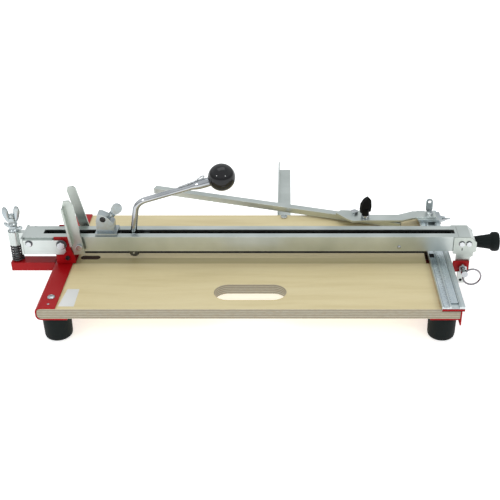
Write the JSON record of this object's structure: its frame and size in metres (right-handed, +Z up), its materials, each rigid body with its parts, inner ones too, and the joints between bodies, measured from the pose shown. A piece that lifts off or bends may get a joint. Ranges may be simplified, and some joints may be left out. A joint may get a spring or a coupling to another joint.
{
  "type": "tile cutter",
  "caption": "Manual tile cutter: plywood bed in steel end channels, sprung lift-up guide rail, ball-lever scoring carriage, breaker arms, mitre fence on a ruled slide.",
  "frame": {"origin": "top of the breaking ridge in the middle of the score line, level with the tile bed", "axes": "+X along the guide rail towards the lift knob, +Y towards the rear bed, +Z up"},
  "size_m": [0.7391, 0.499, 0.214],
  "materials": {
    "plywood": "clear-lacquered birch plywood, laminated edges",
    "red_paint": "gloss red powder coat",
    "aluminium": "satin mill-finish extrusion",
    "steel": "bright zinc-plated steel",
    "zinc": "dull zinc casting",
    "chrome": "polished chrome plate",
    "rubber": "matt black rubber",
    "black_plastic": "gloss black phenolic",
    "carbide": "ground tungsten carbide"
  },
  "bodies": {
    "base": {"front_board": "plywood", "rear_board": "plywood", "breaking_ridge": "plywood", "joint_seal": "rubber", "end_channel_left": "red_paint", "end_channel_right": "red_paint", "foot_front_left": "rubber", "foot_front_right": "rubber", "foot_rear_left": "rubber", "foot_rear_right": "rubber", "pivot_yoke": "red_paint", "rail_pivot_bolt": "steel", "tension_arm": "red_paint", "tension_rod": "zinc", "tension_spring": "rubber", "ruler": "aluminium", "ruler_scale": "steel", "ruler_slide_strip": "steel", "support_pivot_bolt": "steel", "lock_lug": "red_paint", "lock_bushing": "steel"},
    "rail": {"rail": "aluminium", "cheek_front": "aluminium", "cheek_rear": "aluminium", "cheek_bolt": "steel", "tension_barrel": "aluminium", "rail_end_cap": "aluminium", "end_plate_front": "aluminium", "end_plate_rear": "aluminium", "end_bolt_inner": "steel", "end_bolt_outer": "steel", "lift_knob": "rubber", "knob_stud": "steel"},
    "carriage": {"carriage_block": "black_plastic", "lever_pin": "steel"},
    "lever": {"cutting_lever": "chrome", "ball_knob": "black_plastic", "wheel_fork": "steel", "wheel_axle": "steel"},
    "wheel": {"scoring_wheel": "carbide"},
    "stop": {"travel_stop": "zinc"},
    "stop_screw": {"stop_thumb_screw": "zinc"},
    "breaker": {"breaker_arm_front": "aluminium", "breaker_arm_rear": "aluminium", "breaker_pin": "steel"},
    "wing_nut": {"tension_wing_nut": "zinc"},
    "lock_nut": {"lock_wing_nut": "zinc"},
    "slide": {"fence_slide": "zinc", "fence_arm": "aluminium", "arm_bolt": "steel", "fence_pivot_bolt": "steel", "slide_screw": "steel"},
    "fence": {"mitre_fence": "aluminium"},
    "clamp_knob": {"fence_clamp_knob": "black_plastic", "clamp_collar": "chrome"},
    "slide_nut": {"slide_wing_nut": "zinc"},
    "slide_lever": {"slide_lock_lever": "zinc"},
    "support": {"support_arm": "aluminium"},
    "lock_pin": {"lock_pin": "steel"},
    "ring": {"pull_ring": "chrome"}
  },
  "joints": [
    {"name": "rail_lift", "type": "hinge", "parent": "base", "child": "rail", "pos_m": [-0.279, 0, 0.035], "axis": [0, -1, 0], "range_deg": [0, 7], "deforming": ["tension_spring"]},
    {"name": "carriage_travel", "type": "slide", "parent": "rail", "child": "carriage", "axis": [1, 0, 0], "range_m": [-0.002, 0.415]},
    {"name": "lever_lift", "type": "hinge", "parent": "carriage", "child": "lever", "pos_m": [-0.177, 0, 0.033], "axis": [0, -1, 0], "range_deg": [0, 16]},
    {"name": "wheel_spin", "type": "hinge", "parent": "lever", "child": "wheel", "pos_m": [-0.177, 0, 0.0105], "axis": [0, 1, 0], "continuous": true},
    {"name": "stop_travel", "type": "slide", "parent": "rail", "child": "stop", "axis": [1, 0, 0], "range_m": [-0.012, 0.002]},
    {"name": "stop_screw_turn", "type": "hinge", "parent": "stop", "child": "stop_screw", "pos_m": [-0.208, 0, 0.07], "axis": [0.6428, 0, 0.766], "continuous": true},
    {"name": "breaker_swing", "type": "hinge", "parent": "rail", "child": "breaker", "pos_m": [-0.252, 0, 0.033], "axis": [0, 1, 0], "range_deg": [0, 98]},
    {"name": "wing_nut_turn", "type": "hinge", "parent": "base", "child": "wing_nut", "pos_m": [-0.353, 0, 0.05], "axis": [0, 0, 1], "continuous": true},
    {"name": "lock_nut_turn", "type": "hinge", "parent": "base", "child": "lock_nut", "pos_m": [-0.353, 0, 0.062], "axis": [0, 0, 1], "continuous": true},
    {"name": "slide_travel", "type": "slide", "parent": "base", "child": "slide", "axis": [0, 1, 0], "range_m": [-0.055, 0.01]},
    {"name": "fence_swing", "type": "hinge", "parent": "slide", "child": "fence", "pos_m": [0.162, 0.116, 0.005], "axis": [0, 0, 1], "range_deg": [-15, 17]},
    {"name": "clamp_knob_turn", "type": "hinge", "parent": "slide", "child": "clamp_knob", "pos_m": [0.178, 0.101, 0.02], "axis": [0, 0, 1], "continuous": true},
    {"name": "slide_nut_turn", "type": "hinge", "parent": "slide", "child": "slide_nut", "pos_m": [0.304, 0.112, 0.0066], "axis": [1, 0, 0], "continuous": true},
    {"name": "slide_lever_tilt", "type": "hinge", "parent": "slide", "child": "slide_lever", "pos_m": [0.2825, 0.12, 0.0211], "axis": [0, 1, 0], "range_deg": [-65, 65]},
    {"name": "support_swing", "type": "hinge", "parent": "base", "child": "support", "pos_m": [0.048, 0.131, -0.018], "axis": [0, 0, 1], "range_deg": [-75, 0]},
    {"name": "lock_pin_push", "type": "slide", "parent": "base", "child": "lock_pin", "axis": [0, 1, 0], "range_m": [0, 0.008]},
    {"name": "ring_swing", "type": "hinge", "parent": "lock_pin", "child": "ring", "pos_m": [0.314, -0.0435, -0.0015], "axis": [0.454, 0, 0.891], "range_deg": [-40, 12]}
  ]
}
